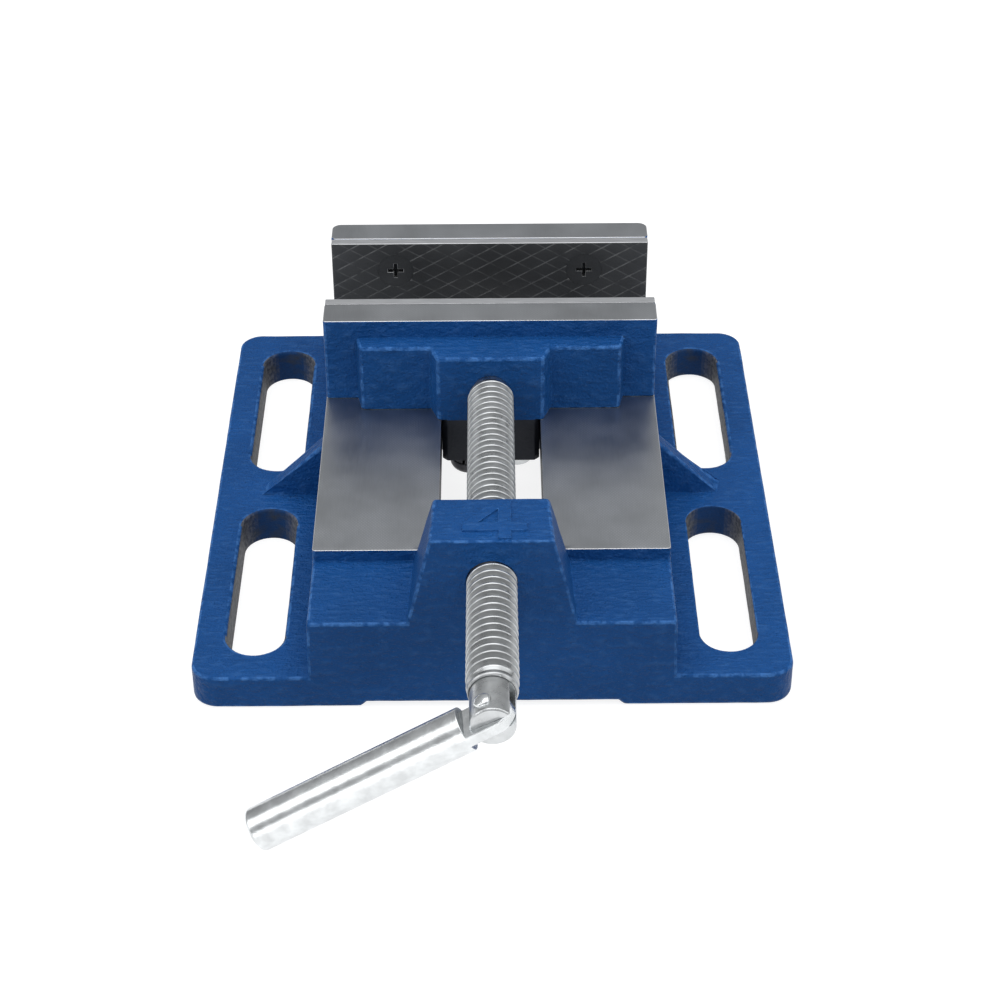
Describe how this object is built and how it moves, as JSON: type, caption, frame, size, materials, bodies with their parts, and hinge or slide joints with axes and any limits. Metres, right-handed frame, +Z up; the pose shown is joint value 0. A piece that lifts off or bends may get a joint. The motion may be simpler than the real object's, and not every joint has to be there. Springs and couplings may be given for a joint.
{
  "type": "drill press vise",
  "caption": "Low cast machine vise with a slotted flange, a sliding jaw driven by a lead screw through a nut boss, and a folding cranked bar handle.",
  "frame": {"origin": "centre of the base's footprint, on the face that rests on the machine table", "axes": "+Z up, +Y from the handle end towards the fixed jaw along the screw, +X to the right seen from the handle end"},
  "size_m": [0.17, 0.2493, 0.0618],
  "materials": {
    "blue_paint": "blue enamel over a rough sand casting, with machined ways and jaw tops left bare",
    "black_oxide": "black oxide with a scribed diamond pattern, ground bright along the top edge",
    "black_screws": "black oxide",
    "plain_steel": "mill-finish flat bar",
    "zinc_fasteners": "zinc plated",
    "spring_steel": "oiled spring steel",
    "zinc_screw": "zinc plated, turned",
    "zinc_handle": "zinc plated, bright drawn"
  },
  "bodies": {
    "base": {"base_casting": "blue_paint", "fixed_jaw_plate": "black_oxide", "fixed_jaw_screw_left": "black_screws", "fixed_jaw_screw_right": "black_screws"},
    "movable_jaw_body": {"movable_jaw": "blue_paint", "movable_jaw_plate": "black_oxide", "movable_jaw_screw_left": "black_screws", "movable_jaw_screw_right": "black_screws", "keeper_plate": "plain_steel", "keeper_bolt_left": "zinc_fasteners", "keeper_bolt_right": "zinc_fasteners", "keeper_washer_left": "zinc_fasteners", "keeper_washer_right": "zinc_fasteners", "keeper_spring_washer_left": "spring_steel", "keeper_spring_washer_right": "spring_steel", "retaining_bolt": "spring_steel", "retaining_spring_washer": "spring_steel"},
    "screw": {"lead_screw": "zinc_screw", "handle_pin": "zinc_screw"},
    "handle_body": {"handle": "zinc_handle"}
  },
  "joints": [
    {"name": "jaw_slide", "type": "slide", "parent": "base", "child": "movable_jaw_body", "axis": [0, 1, 0], "range_m": [-0.0652, 0.0339]},
    {"name": "screw_turn", "type": "hinge", "parent": "movable_jaw_body", "child": "screw", "pos_m": [0, 0, 0.0445], "axis": [0, 1, 0], "range_deg": [-8280, 4320]},
    {"name": "handle_fold", "type": "hinge", "parent": "screw", "child": "handle_body", "pos_m": [0, -0.1459, 0.0445], "axis": [-0.4695, 0, 0.8829], "range_deg": [0, 180]}
  ],
  "couplings": [
    {"joint": "jaw_slide", "follows": "screw_turn", "m_per_rad": 0.00044917}
  ]
}
